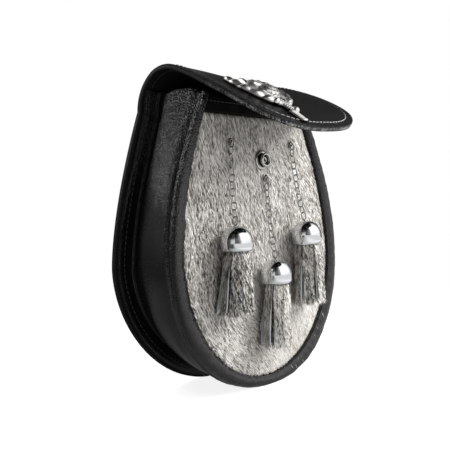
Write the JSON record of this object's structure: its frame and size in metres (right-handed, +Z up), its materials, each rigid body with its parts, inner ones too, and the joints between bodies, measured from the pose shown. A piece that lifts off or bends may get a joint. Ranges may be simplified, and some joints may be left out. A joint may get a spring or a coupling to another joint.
{
  "type": "sporran pouch",
  "caption": "Upright leather pouch with a fold-over flap, a hair-on hide front in a rolled rim, chained tassels under domed caps and a cast flap badge.",
  "frame": {"origin": "on the ground under the middle of the bounding box", "axes": "+Z up, the hair-on front faces -Y, +X to the right as seen from the front"},
  "size_m": [0.167, 0.1087, 0.2103],
  "materials": {
    "smooth_leather": "black smooth leather with a soft sheen and grey cut edges",
    "grained_leather": "black pebbled leather, semi-matt",
    "fur": "short grey hair on hide, pale with dark streaks",
    "tassel_hide": "strips of grey hair-on hide",
    "polished_metal": "polished chrome plate",
    "dark_metal": "dark nickel, satin",
    "cast_metal": "cast white metal with darkened recesses",
    "wire": "bright steel wire links"
  },
  "bodies": {
    "root": {"back_and_flap": "smooth_leather", "gusset": "grained_leather", "rolled_rim": "grained_leather", "front_panel": "smooth_leather", "top_binding": "smooth_leather", "fur_panel": "fur", "snap_stud": "dark_metal", "snap_socket": "dark_metal", "flap_badge": "cast_metal", "chain_left": "wire", "chain_centre": "wire", "chain_right": "wire", "cap_left": "polished_metal", "cap_centre": "polished_metal", "cap_right": "polished_metal", "tassel_left": "tassel_hide", "tassel_centre": "tassel_hide", "tassel_right": "tassel_hide"}
  },
  "joints": []
}
